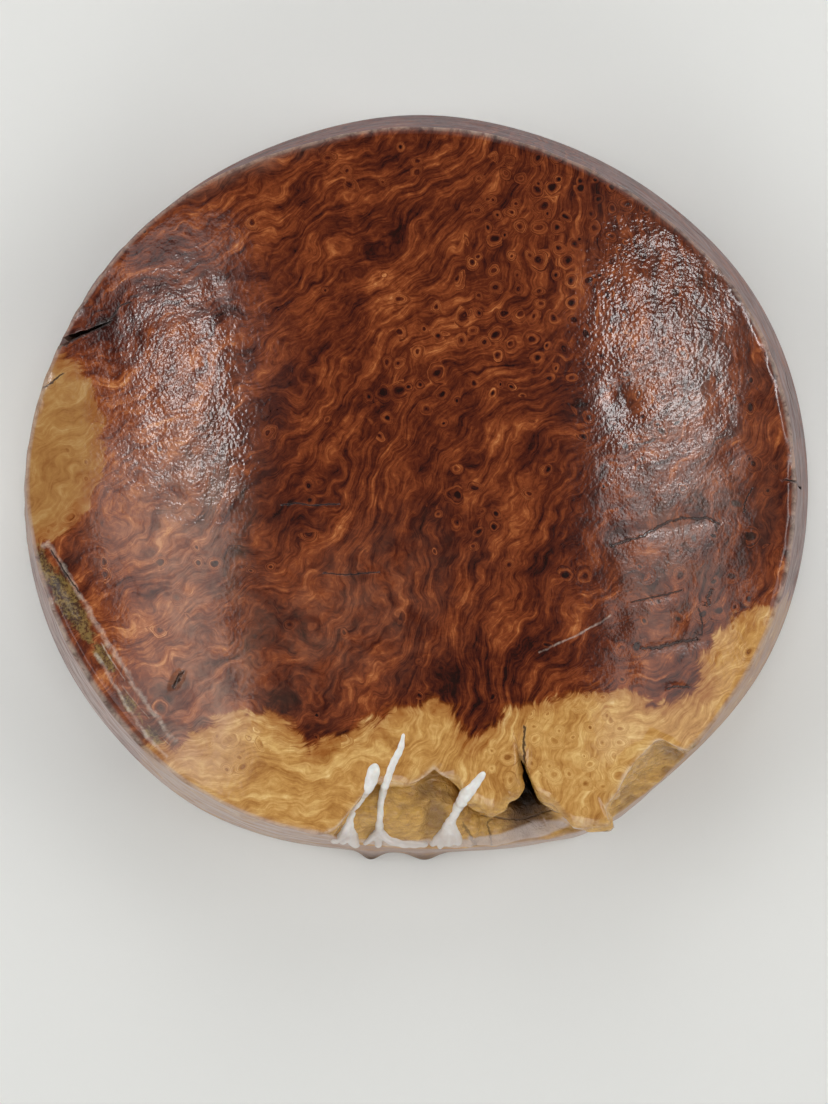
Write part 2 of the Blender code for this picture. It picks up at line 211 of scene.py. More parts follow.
# Fine creases and cracks: (width, points)
DARK_LINES = (
    (0.45, ((57.1, -19.4), (60.9, -17.9), (65.3, -16.8), (69.1, -14.7), (73.5, -12.4), (77.3, -11.2),
            (82.9, -11.5), (84.6, -10.9), (88.2, -12.7))),
    (0.35, ((95.8, -9.1), (96.1, -6.2), (98.1, -2.7))),
    (0.3, ((63.3, -35.8), (68.2, -34.6), (73.5, -33.5), (77.6, -32.3))),
    (0.55, ((66.2, -49.3), (69.7, -49.3), (73.5, -48.4), (77.6, -47.2), (82.0, -46.9))),
    (0.3, ((82.6, -37.8), (83.5, -41.7), (83.5, -45.2))),
    (0.6, ((86.4, -32.3), (85.2, -34.3), (85.5, -36.4))),
    (0.4, ((73.2, -61.3), (75.9, -60.4), (79.7, -60.7))),
    (0.25, ((-39.6, -7.4), (-35.5, -6.8), (-31.4, -7.4), (-23.2, -7.1))),
    (0.25, ((-27.0, -27.3), (-21.1, -27.9), (-11.4, -27.0))),
    (0.3, ((-113.0, 25.6), (-109.3, 26.9), (-106.9, 28.6), (-104.0, 31.0))),
    (0.3, ((-89.6, 46.9), (-87.3, 50.9), (-84.1, 52.1))),
    (0.7, ((-106.0, 38.6), (-101.5, 40.6), (-97.5, 42.7), (-93.5, 44.9), (-89.6, 46.9))),
    (0.7, ((-71.2, -61.0), (-70.3, -58.9), (-68.9, -56.3))),
    (0.4, ((31.5, -72.5), (31.3, -78.6), (31.6, -84.0))),
    (0.3, ((-107.0, -21.0), (-103.5, -26.5), (-99.0, -33.0))),
    (0.3, ((19.7, -100.8), (24.4, -101.6), (29.3, -102.5), (33.1, -102.5), (38.5, -100.6),
           (43.0, -99.5))),
    (0.45, ((13.6, -102.5), (15.7, -106.0), (17.3, -108.7), (18.4, -112.0))),
    (0.3, ((21.0, -103.0), (22.4, -107.0), (22.8, -110.5))),
    (0.4, ((48.5, -104.6), (52.0, -104.8), (56.0, -103.4))),
)
PALE_LINES = (
    (0.5, ((-109.5, -19.5), (-107.5, -19.1), (-104.0, -24.7), (-93.2, -43.7), (-85.3, -56.3),
           (-78.5, -66.6), (-71.2, -76.5))),
    (0.4, ((-94.0, -51.0), (-91.1, -55.7), (-84.4, -67.7), (-78.5, -75.9), (-73.5, -81.0))),
    (0.2, ((36.0, -50.4), (37.5, -49.9), (46.3, -45.8), (56.5, -39.9))),
    (0.3, ((-113.0, -22.5), (-111.0, -29.0), (-107.0, -39.0), (-101.0, -50.0))),
)
BARK_PATCHES = (
    (-102, -36, 12, 3.6, 120, 1.0), (-91, -53, 6, 2.2, 124, 0.8), (-84, -66, 5, 1.8, 124, 0.7),
    (-77, -75, 5, 2.0, 130, 0.7), (-110, -23, 5, 2.0, 110, 0.5),
)

# Wax that ran together on the outer edge of the shelves
WAX_POOL = (
    (35, -106.6, 15, 2.3, 17, 1.2), (16, -109.4, 10, 1.8, 6, 0.9), (-8, -109.4, 19, 2.0, -1, 0.9),
    (82, -76, 12, 1.6, 42, 0.7),
)

# The bark pocket: the shade inside its hollow is painted dark
POCKET = ((34.5, -87, 14, 6.5, 84, 1.6),)

# Wax runs over the natural edge: (x, y, radius), with the branches and pools they end in
WAX_RUNS = {
    "wax_run_left": (
        ((-12.4, -84.2, 1.8), (-12.9, -86.0, 2.3), (-14.2, -89.3, 2.1), (-16.3, -93.4, 1.5),
         (-18.6, -97.6, 1.2), (-20.8, -101.5, 1.5), (-22.6, -105.3, 1.5), (-25.2, -108.3, 1.0)),
        ((-20.0, -100.2, 1.2), (-20.2, -103.4, 2.0), (-19.7, -106.6, 2.3), (-18.4, -109.6, 1.4)),
        ((-20.6, -102.0, 1.2), (-21.6, -105.0, 1.9), (-22.2, -107.8, 1.3)),
    ),
    "wax_run_middle": (
        ((-4.0, -74.6, 0.7), (-4.8, -78.6, 1.25), (-6.9, -82.8, 1.4), (-8.5, -87.0, 1.4),
         (-10.5, -94.4, 1.2), (-11.0, -99.6, 1.15), (-11.3, -104.4, 1.5), (-11.7, -109.4, 1.2)),
        ((-11.3, -103.6, 1.2), (-9.4, -106.4, 1.8), (-5.5, -108.2, 1.9), (-1.5, -108.9, 1.7),
         (2.4, -109.4, 1.2)),
        ((-11.3, -104.0, 1.0), (-13.6, -106.9, 1.2), (-15.6, -108.8, 0.9)),
    ),
    "wax_run_right": (
        ((19.3, -86.2, 1.3), (17.0, -89.2, 1.75), (14.5, -92.4, 2.1), (12.8, -95.8, 1.75),
         (11.1, -99.6, 1.5), (9.2, -104.0, 1.8), (7.9, -107.8, 1.6), (7.0, -110.4, 1.0)),
        ((10.2, -101.6, 1.3), (11.6, -105.2, 1.7), (12.4, -108.6, 1.4)),
        ((9.8, -103.5, 1.3), (9.8, -106.0, 1.8), (9.6, -108.8, 1.5)),
        ((9.0, -104.2, 1.4), (6.2, -107.6, 1.5), (4.6, -109.6, 0.9)),
    ),
}
WAX_STEP = 0.45
WAX_VOXEL = 0.33
WAX_SINK = 0.55
WAX_SLACK = 30

# Rings of the fine mesh
COLUMNS_SAWN = 528
COLUMNS_NATURAL = 272
INNER_RINGS = ((3.0, 12.0, 8, 8), (12.0, 30.0, 16, 4), (30.0, 60.0, 24, 2))
FACE_ROWS = 42
CLIFF_ROWS = 9
SHELF_ROWS = 11
WALL_ROWS = 26
FOOT_ARRIS = 0.6
FOOT_SHARES = (0.85, 0.6, 0.3)


def through(stations, at, column=1, closed=False, limited=False):
    """A smooth curve through the stations. A limited one never swings past them."""
    table = np.array(stations, float)
    place, value = table[:, 0], table[:, column]
    if closed:
        place = np.concatenate([place[-2:] - 360.0, place, place[:2] + 360.0])
        value = np.concatenate([value[-2:], value, value[:2]])
    step = np.diff(place)
    rise = np.diff(value) / step
    slope = np.zeros(len(place))
    before, after = rise[:-1], rise[1:]
    slope[1:-1] = (before * step[1:] + after * step[:-1]) / (step[1:] + step[:-1])
    if limited:
        turns = before * after <= 0.0
        least = 2.0 * np.minimum(abs(before), abs(after))
        kept = np.sign(before) * np.minimum(abs(slope[1:-1]), least)
        slope[1:-1] = np.where(turns, 0.0, kept)
    at = np.asarray(at, float)
    span = np.clip(np.searchsorted(place, at, side="right") - 1, 0, len(step) - 1)
    t = np.clip((at - place[span]) / step[span], 0.0, 1.0)
    a, b = value[span], value[span + 1]
    da, db = slope[span] * step[span], slope[span + 1] * step[span]
    return a + t * da + t * t * (3 * (b - a) - 2 * da - db) + t ** 3 * (2 * (a - b) + da + db)


def ease(low, high, value):
    t = np.clip((value - low) / (high - low), 0.0, 1.0)
    return t * t * (3.0 - 2.0 * t)


def wobble(points, size, seed, waves=14):
    """Smooth seeded unevenness between about -1 and 1, with bumps of the given size."""
    draw = np.random.default_rng(seed)
    heading = draw.normal(size=(waves, 3))
    heading /= np.linalg.norm(heading, axis=1)[:, None]
    rate = 2.0 * math.pi / size * draw.uniform(0.35, 0.75, waves)
    phase = draw.uniform(0.0, 2.0 * math.pi, waves)
    total = np.zeros(len(points))
    for one, speed, start in zip(heading, rate, phase):
        total += np.sin(points @ one * speed + start)
    return total / math.sqrt(waves)


def is_natural(angles):
    return (angles > NATURAL_START) & (angles < NATURAL_END)


def natural_share(angles):
    return ease(NATURAL_START, 258.0, angles) * (1.0 - ease(313.5, NATURAL_END, angles))


def face_radius(angles):
    sawn = through(FACE_OUTLINE, angles, closed=True)
    natural = through(NATURAL_EDGE, angles, limited=True)
    return np.where(is_natural(angles), natural, sawn)


def wall_radius(angles, depth):
    """The sawn wall runs straight from the face's outline out to the foot's."""
    face = through(FACE_OUTLINE, angles, closed=True)
    foot = through(FOOT_OUTLINE, angles, closed=True)
    radius = face + (foot - face) * depth / THICKNESS
    for angle, width, out, height in KNOBS:
        low = np.clip((depth - THICKNESS + height) / (0.5 * height), 0.0, 1.0)
        radius = radius + out * np.exp(-((angles - angle) / width) ** 2) * low
    return radius


def knob_share(angles, depth):
    """How much a point on the wall belongs to one of the bark knobs."""
    total = np.zeros(len(angles))
    for angle, width, _, height in KNOBS:
        low = ease(THICKNESS - height, THICKNESS - 0.5 * height, depth)
        total += np.exp(-((angles - angle) / (1.3 * width)) ** 2) * low
    return total


def column_angles():
    sawn = np.linspace(NATURAL_END - 360.0, NATURAL_START, COLUMNS_SAWN, endpoint=False)
    natural = np.linspace(NATURAL_START, NATURAL_END, COLUMNS_NATURAL, endpoint=False)
    return np.sort(np.concatenate([sawn, natural]) % 360.0)


def skin_depths(angles):
    """Depths of the cliff's foot, of the shelf half way out and of its rim."""
    beyond = np.minimum((NATURAL_START - angles) % 360.0, (angles - NATURAL_END) % 360.0)
    band = 0.8 + (SAWN_BAND - 0.8) * ease(0.0, SAWN_BAND_EASE, beyond)
    natural = is_natural(angles)
    found = []
    for column, share in zip((2, 3, 4), SAWN_SHARES):
        skin = through(SKIN, angles, column=column, limited=True)
        found.append(np.where(natural, skin, band * share))
    return found


def smooth_rows(controls, counts):
    """Rings on smooth curves through the control rings, with so many rows for each gap."""
    made = []
    last = len(controls) - 1
    for i, count in enumerate(counts):
        before = controls[max(i - 1, 0)]
        start, end = controls[i], controls[i + 1]
        after = controls[min(i + 2, last)]
        for k in range(count):
            t = (k + 1) / count
            made.append(0.5 * (
                2 * start + (end - before) * t
                + (2 * before - 5 * start + 4 * end - after) * t * t
                + (3 * start - before - 3 * end + after) * t ** 3
            ))
    return made


def face_rings(angles, edge):
    """Rings of the face outside its round middle, rolling over at the natural edge."""
    roll = np.where(is_natural(angles), through(EDGE_ROLL, angles, limited=True), 0.0)
    inner = INNER_RINGS[-1][1]
    rings = []
    inside = [inner + (edge - inner) * row / FACE_ROWS for row in range(1, FACE_ROWS)]
    for radius in inside + [edge - ARRIS, edge]:
        near = 1.0 - np.clip((edge - radius) / ROLL_WIDTH, 0.0, 1.0)
        rings.append(np.stack([radius, roll * near ** 2.5]))
    return rings


def skin_rings(angles, edge, edge_depth):
    """Rings down the cliff and out over the shelf to the wall."""
    natural = is_natural(angles)
    foot_depth, half_depth, rim_depth = skin_depths(angles)
    undercut = through(SKIN, angles, column=1, limited=True)
    rim = wall_radius(angles, rim_depth)
    foot = np.where(natural, edge - undercut, wall_radius(angles, foot_depth))
    half = np.where(natural, 0.5 * (foot + rim), wall_radius(angles, half_depth))
    bulge = np.where(natural, edge + 0.8, wall_radius(angles, 0.35 * foot_depth))
    controls = [
        np.stack([edge, edge_depth]),
        np.stack([edge + 0.15, edge_depth + ARRIS]),
        np.stack([bulge, np.maximum(0.35 * foot_depth, edge_depth + 2 * ARRIS)]),
        np.stack([foot, foot_depth]),
        np.stack([half, half_depth]),
        np.stack([rim, rim_depth]),
    ]
    upper = CLIFF_ROWS // 2
    outer = SHELF_ROWS // 2
    counts = (1, upper, CLIFF_ROWS - upper, SHELF_ROWS - outer, outer)
    return smooth_rows(controls, counts), rim_depth


def burl_rings(angles):
    """Every ring outside the round middle, from the face to the foot, as (radius, depth)."""
    edge = face_radius(angles)
    rings = face_rings(angles, edge)
    skin, rim_depth = skin_rings(angles, edge, rings[-1][1])
    rings += skin
    last = THICKNESS - FOOT_ARRIS
    for row in range(1, WALL_ROWS + 1):
        depth = rim_depth + (last - rim_depth) * row / WALL_ROWS
        rings.append((wall_radius(angles, depth), depth))
    flat = np.full_like(angles, THICKNESS)
    foot = wall_radius(angles, THICKNESS)
    rings.append((foot - FOOT_ARRIS, flat))
    rings += [(share * foot, flat) for share in FOOT_SHARES]
    return rings


def ring_points(angles, radius, depth):
    turn = np.radians(angles)
    return np.column_stack([radius * np.cos(turn), radius * np.sin(turn), THICKNESS - depth])


def burl_surface():
    """Points and faces of the whole blank, without its relief."""
    angles = column_angles()
    points, faces = [], []
    count = len(angles)
    previous, previous_step, start = None, 0, 0
    for inner, outer, rows, step in INNER_RINGS:
        own = angles[::step]
        for row in range(rows):
            radius = inner + (outer - inner) * row / rows
            points.append(ring_points(own, np.full_like(own, radius), np.zeros_like(own)))
            faces += joined(previous, previous_step, start, step, count)
            previous, previous_step = start, step
            start += len(own)
    middle = list(range(len(angles[::INNER_RINGS[0][3]])))
    faces.append(middle)
    inner = INNER_RINGS[-1][1]
    rings = [(np.full_like(angles, inner), np.zeros_like(angles))] + burl_rings(angles)
    for radius, depth in rings:
        points.append(ring_points(angles, radius, depth))
        faces += joined(previous, previous_step, start, 1, count)
        previous, previous_step = start, 1
        start += count
    faces.append(list(range(start - 1, start - 1 - count, -1)))
    return np.concatenate(points), faces


def joined(inner, inner_step, outer, outer_step, count):
    """Faces between a ring and the next one out, which may have twice as many points."""
    if inner is None:
        return []
    many = count // outer_step
    if inner_step == outer_step:
        pairs = ((i, (i + 1) % many) for i in range(many))
        return [(inner + i, outer + i, outer + j, inner + j) for i, j in pairs]
    few = count // inner_step
    made = []
    for i in range(few):
        j = (i + 1) % few
        a, b, c = outer + 2 * i, outer + 2 * i + 1, outer + (2 * i + 2) % many
        made += [(inner + i, a, b), (inner + i, b, inner + j), (inner + j, b, c)]
    return made


def mesh_from(name, points, faces):
    made = bpy.data.meshes.new(name)
    made.from_pydata((points * MM).tolist(), [], faces)
    made.update()
    return made


def added(name, data):
    """A new object in the scene."""
    thing = bpy.data.objects.new(name, data)
    bpy.context.scene.collection.objects.link(thing)
    return thing


def turned(points, x, y, turn):
    """Distances of the points along and across a direction, from a place."""
    angle = math.radians(turn)
    dx, dy = points[:, 0] - x, points[:, 1] - y
    return (
        dx * math.cos(angle) + dy * math.sin(angle),
        dy * math.cos(angle) - dx * math.sin(angle),
    )


def patches(points, table):
    """The sum of soft oval patches."""
    total = np.zeros(len(points))
    for x, y, long, short, turn, strength in table:
        along, across = turned(points, x, y, turn)
        total += strength * np.exp(-((along / long) ** 2) - (across / short) ** 2)
    return total


def spots(points, table):
    return np.clip(patches(points, table), 0.0, 1.0)


def places(points):
    """Angle, radius and depth of the points."""
    angles = np.degrees(np.arctan2(points[:, 1], points[:, 0])) % 360.0
    return angles, np.hypot(points[:, 0], points[:, 1]), THICKNESS - points[:, 2]


def surface_shares(points):
    """How much each point belongs to the face, to the skin and to the sawn wall."""
    angles, radius, depth = places(points)
    natural = natural_share(angles)
    rim = skin_depths(angles)[2]
    behind = wall_radius(angles, depth) - radius
    wall = (1.0 - ease(0.3, 1.4, behind)) * ease(-1.0, 0.6, depth - natural * rim)
    face = (1.0 - ease(0.5, 2.6, depth)) * (1.0 - ease(0.1, 0.5, depth) * (1.0 - natural))
    face = face * ease(0.0, 1.0, behind)
    skin = (1.0 - face) * (1.0 - wall) * ease(THICKNESS - 0.2, THICKNESS - 1.5, depth)
    return face, skin, wall


def skin_lumps(points):
    """Lumps, fibres and flutes of the burl's own skin, in millimetres."""
    lump = 0.9 * wobble(points * (1.0, 1.0, 0.5), 11.0, 3) + 0.5 * wobble(points, 4.5, 4)
    fibre = 0.30 * wobble(points * (0.35, 1.6, 1.2), 3.6, 5, 24)
    flute = 0.35 * wobble(points * (1.5, 1.5, 0.2), 4.0, 6, 20)
    return 0.85 * (lump + fibre + flute)


def relief(points):
    """How far each point stands out along the surface's normal, in millimetres."""
    angles, radius, depth = places(points)
    face, skin, wall = surface_shares(points)
    natural = natural_share(angles)
    low = ease(THICKNESS - 3.0, THICKNESS - 8.0, depth)
    dents = np.zeros(len(points))
    for x, y, long, short, deep, turn in DENTS:
        along, across = turned(points, x, y, turn)
        dents -= deep * np.exp(-((2 * along / long) ** 2) - abs(2 * across / short) ** 1.3)
    rough = rough_zones(points)
    flat = 0.05 * wobble(points, 26.0, 1) + rough * 0.03 * wobble(points, 6.0, 2)
    near = 1.0 - ease(0.0, 5.0, face_radius(angles) - radius)
    rounded = 0.35 * near * wobble(points, 7.0, 7)
    sawn = 0.25 * wobble(points, 38.0, 8) + 0.13 * wobble(points * (1.0, 1.0, 0.12), 4.5, 9)
    buried = (depth < 30.0) * (1.0 - wall)
    return (
        face * (flat + natural * rounded) + buried * dents
        + skin * natural * skin_lumps(points) * ease(0.0, 4.0, depth) + wall * low * sawn
    )


def rough_zones(points):
    """Where the wax lies in small pebbles, at the left and at the right of the face."""
    x, y = points[:, 0], points[:, 1]
    stray = 7.0 * wobble(points, 22.0, 11)
    left = ease(-100.0, -74.0, x) * ease(-52.0, -57.0, x + 0.3 * stray) * ease(-30.0, -8.0, y + stray)
    left = left * ease(78.0, 54.0, y + stray)
    right = ease(54.0, 60.0, x + 0.3 * stray) * ease(103.0, 88.0, x) * ease(-74.0, -50.0, y)
    right = right * ease(96.0, 72.0, y + stray)
    return np.maximum(left, right)


def grain_field(points):
    """A smooth field whose level lines run the way the grain does."""
    table = np.array(GRAIN, float)
    turn = np.radians(table[:, 2])
    slope = np.column_stack([-np.sin(turn), np.cos(turn)])
    count = len(table)
    rows, wanted = [np.ones(count) * 0.01], [0.0]
    for i in range(count):
        for j in range(i + 1, count):
            apart = math.dist(table[i, :2], table[j, :2])
            weight = math.exp(-((apart / (2.5 * GRAIN_REACH)) ** 2))
            half = 0.5 * (table[j, :2] - table[i, :2])
            row = np.zeros(count)
            row[i], row[j] = weight, -weight
            rows.append(row)
            wanted.append(-weight * (slope[i] @ half + slope[j] @ half))
    offset = np.linalg.lstsq(np.array(rows), np.array(wanted), rcond=None)[0]
    total = np.zeros(len(points))
    field = np.zeros(len(points))
    for (x, y, _), rise, base in zip(table, slope, offset):
        away = points[:, :2] - (x, y)
        weight = np.exp(-(away ** 2).sum(axis=1) / (2.0 * GRAIN_REACH ** 2)) + 1e-9
        field += weight * (away @ rise + base)
        total += weight
    return field / total


def segments(line, closed=False):
    line = [np.array(point, float) for point in line]
    ends = line[1:] + line[:1] if closed else line[1:]
    return list(zip(line, ends))


def inside(points, outline):
    x, y = points[:, 0], points[:, 1]
    within = np.zeros(len(points), bool)
    for (x1, y1), (x2, y2) in segments(outline, closed=True):
        if y1 != y2:
            within ^= ((y1 > y) != (y2 > y)) & (x < x1 + (y - y1) * (x2 - x1) / (y2 - y1))
    return within


def depth_within(points, outline):
    """Distance to the outline, counted as positive inside it."""
    least = np.full(len(points), 1e9)
    for start, end in segments(outline, closed=True):
        along = end - start
        share = np.clip((points[:, :2] - start) @ along / (along @ along), 0.0, 1.0)
        away = points[:, :2] - start - share[:, None] * along
        least = np.minimum(least, np.hypot(away[:, 0], away[:, 1]))
    return np.where(inside(points, outline), least, -least)


def line_field(points, lines):
    """Signed distance to the nearest line, in line widths, and how near that line is."""
    least = np.full(len(points), 1e9)
    signed = np.full(len(points), 9.0)
    near = np.zeros(len(points))
    for width, line in lines:
        pieces = segments(line)
        for i, (start, end) in enumerate(pieces):
            along = end - start
            length = math.hypot(*along)
            offset = points[:, :2] - start
            place = offset @ along / length
            side = (along[0] * offset[:, 1] - along[1] * offset[:, 0]) / length
            past = place - np.clip(place, 0.0, length)
            away = np.hypot(past, side)
            beyond = np.zeros(len(points))
            if i == 0:
                beyond = np.maximum(beyond, -past)
            if i == len(pieces) - 1:
                beyond = np.maximum(beyond, past)
            closer = away < least
            least = np.where(closer, away, least)
            signed = np.where(closer, side / width, signed)
            share = np.clip(1.6 - away / 2.0, 0.0, 1.0) * ease(1.0, 0.0, beyond)
            near = np.where(closer, share, near)
    return np.clip(signed, -12.0, 12.0), near


def set_attributes(mesh):
    """Values for the wood's material, worked out from where each point lies."""
    flat = np.empty(3 * len(mesh.vertices))
    mesh.vertices.foreach_get("co", flat)
    points = flat.reshape(-1, 3) / MM
    angles, radius, depth = places(points)
    face, skin, wall = surface_shares(points)
    natural = natural_share(angles)
    eyes = np.full(len(points), EYES_ELSEWHERE)
    for x, y, reach, share in EYES:
        away = np.hypot(points[:, 0] - x, points[:, 1] - y)
        eyes = np.maximum(eyes, share * ease(1.3 * reach, 0.6 * reach, away))
    below = depth_within(points, SAPWOOD_BELOW)
    left = depth_within(points, SAPWOOD_LEFT)
    dark, dark_near = line_field(points, DARK_LINES)
    pale, pale_near = line_field(points, PALE_LINES)
    on_face = ease(3.0, 1.0, depth)
    roll = np.where(is_natural(angles), through(EDGE_ROLL, angles, limited=True), 0.0)
    # Painted shade on the face where it rolls over the natural edge
    roll_shade = ease(5.0, 0.0, face_radius(angles) - radius) * np.clip(roll / 1.5, 0.0, 1.0) * face
    values = {
        "flow": grain_field(points),
        "tone": patches(points, PATCHES),
        "sap": np.clip(np.maximum(below, left), -30.0, 30.0),
        "olive": ease(-4.0, 2.0, left),
        "rough": rough_zones(points) * on_face,
        "steep": spots(points, STEEP_PEBBLES) * on_face,
        "eyes": eyes,
        "film": spots(points, FILM) * on_face,
        "dark_line": dark,
        "dark_near": dark_near * np.maximum(on_face, skin * natural),
        "pale_line": pale,
        "pale_near": pale_near * on_face,
        "bark": spots(points, BARK_PATCHES) * on_face,
        "wall": wall,
        "milk": through(MILK, angles, closed=True, limited=True),
        "pool": spots(points, WAX_POOL) * skin * natural,
        "skin": skin * natural,
        # Painted shade: the cut faces inside the drying checks are painted near black
        "cut": skin * (1.0 - natural),
        # A pale line along the face's edge: partly pale wax, partly a painted highlight on the arris
        "arris_wax_and_highlight": np.exp(-((face_radius(angles) - radius) / 0.7) ** 2) * ease(2.5, 0.5, depth),
        # Painted shade: the bark pocket's hollow, darker the deeper it goes
        "deep": spots(points, POCKET) * ease(9.0, 24.0, depth) * skin,
        # Painted shade in the low hollows of the skin's lumps
        "crevice_shade": ease(0.2, -1.3, skin_lumps(points)) * skin * natural,
        "knob": knob_share(angles, depth),
        "roll_shade": roll_shade,
    }
    for name, value in values.items():
        made = mesh.attributes.new(name, "FLOAT", "POINT")
        made.data.foreach_set("value", value.astype(np.float32))


def check_cutter(name, values, seed):
    """A ragged wedge that splits the rim: wide at the wall and closing inward and downward."""
    x1, y1, x2, y2, width, deep = values
    draw = np.random.default_rng(seed)
    along = np.array([x2 - x1, y2 - y1])
    side = np.array([-along[1], along[0]]) / math.hypot(*along)
    shares = np.linspace(0.0, 1.0, CHECK_STEPS)
    left, right = [], []
    for share in shares:
        middle = np.array([x1, y1]) + along * share + side * 0.5 * math.sin(5.0 * share)
        half = 0.5 * width * (1.0 - share) ** 0.8 + 0.06
        left.append(middle + side * half * draw.uniform(0.7, 1.35))
        right.append(middle - side * half * draw.uniform(0.8, 1.1))
    outline = left + right[::-1]
    count = len(outline)
    bottom = [deep * (1.0 - 0.8 * share) for share in shares]
    bottom = bottom + bottom[::-1]
    centre = [0.5 * (a + b) for a, b in zip(left, right)]
    centre = centre + centre[::-1]
    high = np.array([(*place, THICKNESS + CHECK_ABOVE) for place in outline])
    low = np.array([
        (*(mid + (place - mid) * 0.35), THICKNESS - down)
        for place, mid, down in zip(outline, centre, bottom)
    ])
    share = (CHECK_ABOVE + CHECK_LIP) / (high - low)[:, 2:]
    points = np.vstack([high, high + (low - high) * share, low])
    faces = [tuple(range(count)), tuple(range(3 * count - 1, 2 * count - 1, -1))]
    for row in (0, count):
        for i in range(count):
            after = (i + 1) % count
            faces.append((row + i, row + after, row + count + after, row + count + i))
    made = mesh_from(name, points, faces)
    work = bmesh.new()
    work.from_mesh(made)
    bmesh.ops.triangulate(work, faces=work.faces)
    bmesh.ops.recalc_face_normals(work, faces=work.faces)
    work.to_mesh(made)
    work.free()
    return added(name, made)


def knob_hollow_cutter():
    radius, turn, height, size = KNOB_HOLLOW
    angle = math.radians(turn)
    place = (radius * math.cos(angle) * MM, radius * math.sin(angle) * MM, height * MM)
    bpy.ops.mesh.primitive_uv_sphere_add(segments=24, ring_count=14, radius=size * MM, location=place)
    return bpy.context.object


def apply(thing):
    """Makes the thing's modifiers final, in their order."""
    with bpy.context.temp_override(object=thing, active_object=thing):
        for name in [change.name for change in thing.modifiers]:
            bpy.ops.object.modifier_apply(modifier=name)


def cut(thing, tool):
    change = thing.modifiers.new("cut", "BOOLEAN")
    change.operation = "DIFFERENCE"
    change.solver = "EXACT"
    change.object = tool
    apply(thing)
    bpy.data.objects.remove(tool, do_unlink=True)


def make_burl():
    points, faces = burl_surface()
    mesh = mesh_from("waxed_burl_blank", points, faces)
    normals = np.empty(3 * len(mesh.vertices))
    mesh.vertices.foreach_get("normal", normals)
    points = points + relief(points)[:, None] * normals.reshape(-1, 3)
    mesh.vertices.foreach_set("co", (points * MM).ravel())
    mesh.update()
    burl = added("waxed_burl_blank", mesh)
    for seed, (name, values) in enumerate(CHECKS.items()):
        cut(burl, check_cutter(name, values, seed + 3))
    cut(burl, knob_hollow_cutter())
    set_attributes(burl.data)
    burl.data.shade_smooth()
    burl.data.materials.clear()
    burl.data.materials.append(wood_material())
    return burl


class Graph:
    """Short ways to add shader nodes and to join them up."""

    def __init__(self, name):
        self.material = bpy.data.materials.new(name)
        self.material.use_nodes = True
        self.tree = self.material.node_tree
        self.surface = self.tree.nodes["Principled BSDF"]
        where = self.tree.nodes.new("ShaderNodeTexCoord")
        self.place = self.vector("SCALE", where.outputs["Object"], scale=1.0 / MM)

    def put(self, socket, value):
        """Sets a socket to a number or a colour, to another socket or to a named attribute."""
        if isinstance(value, str):
            value = self.attribute(value)
        if isinstance(value, bpy.types.NodeSocket):
            self.tree.links.new(value, socket)
        else:
            socket.default_value = value

    def set(self, node, values):
        for name, value in values.items():
            self.put(node.inputs[name], value)

    def filled(self, node, values):
        for socket, value in zip(node.inputs, values):
            self.put(socket, value)
        return node.outputs[0]

    def math(self, kind, a, b=0.0, c=0.0, clamp=False):
        node = self.tree.nodes.new("ShaderNodeMath")
        node.operation = kind
        node.use_clamp = clamp
        return self.filled(node, (a, b, c))

    def add(self, *values):
        total = values[0]
        for value in values[1:]:
            total = self.math("ADD", total, value)
        return total

    def times(self, *values):
        total = values[0]
        for value in values[1:]:
            total = self.math("MULTIPLY", total, value)
        return total

    def vector(self, kind, a, b=(0.0, 0.0, 0.0), scale=1.0):
        node = self.tree.nodes.new("ShaderNodeVectorMath")
        node.operation = kind
        self.put(node.inputs[0], a)
        if kind == "SCALE":
            self.put(node.inputs["Scale"], scale)
        else:
            self.put(node.inputs[1], b)
        return node.outputs[0]

    def attribute(self, name):
        node = self.tree.nodes.new("ShaderNodeAttribute")
        node.attribute_name = name
        return node.outputs["Fac"]

    def step(self, value, low, high, start=0.0, end=1.0):
        """Eases from start to end while the value goes from low to high."""
        node = self.tree.nodes.new("ShaderNodeMapRange")
        node.interpolation_type = "SMOOTHSTEP"
        return self.filled(node, (value, low, high, start, end))

    def noise(self, where, size, detail=2.0, rough=0.5, distort=0.0):
        """Noise from about -1 to 1, with features of the given size."""
        node = self.tree.nodes.new("ShaderNodeTexNoise")
        self.set(node, {
            "Vector": where, "Scale": 1.0 / size, "Detail": detail, "Roughness": rough,
            "Distortion": distort,
        })
        return self.math("MULTIPLY_ADD", node.outputs["Fac"], 4.0, -2.0)

    def combine(self, x, y, z):
        return self.filled(self.tree.nodes.new("ShaderNodeCombineXYZ"), (x, y, z))

    def split(self, where):
        node = self.tree.nodes.new("ShaderNodeSeparateXYZ")
        self.put(node.inputs[0], where)
        return node.outputs

    def cells(self, where, size):
        """Distance from above to the nearest cell's middle, and the cell's own numbers."""
        node = self.tree.nodes.new("ShaderNodeTexVoronoi")
        node.voronoi_dimensions = "2D"
        self.set(node, {"Vector": where, "Scale": 1.0 / size})
        own = self.split(node.outputs["Color"])
        return self.times(node.outputs["Distance"], size), own

    def mix(self, share, a, b):
        node = self.tree.nodes.new("ShaderNodeMix")
        node.data_type = "RGBA"
        for socket, value in zip((node.inputs[0], node.inputs[6], node.inputs[7]), (share, a, b)):
            colour = isinstance(value, tuple)
            self.put(socket, (*value, 1.0) if colour else value)
        return node.outputs[2]

    def ramp(self, value, stops):
        node = self.tree.nodes.new("ShaderNodeValToRGB")
        band = node.color_ramp.elements
        while len(band) < len(stops):
            band.new(0.5)
        for element, (place, colour) in zip(band, stops):
            element.position = place
            element.color = (*colour, 1.0)
        self.put(node.inputs[0], value)
        return node.outputs[0]

    def bump(self, height):
        """Turns a height in millimetres into a normal."""
        node = self.tree.nodes.new("ShaderNodeBump")
        self.set(node, {"Distance": MM, "Height": height})
        return node.outputs[0]


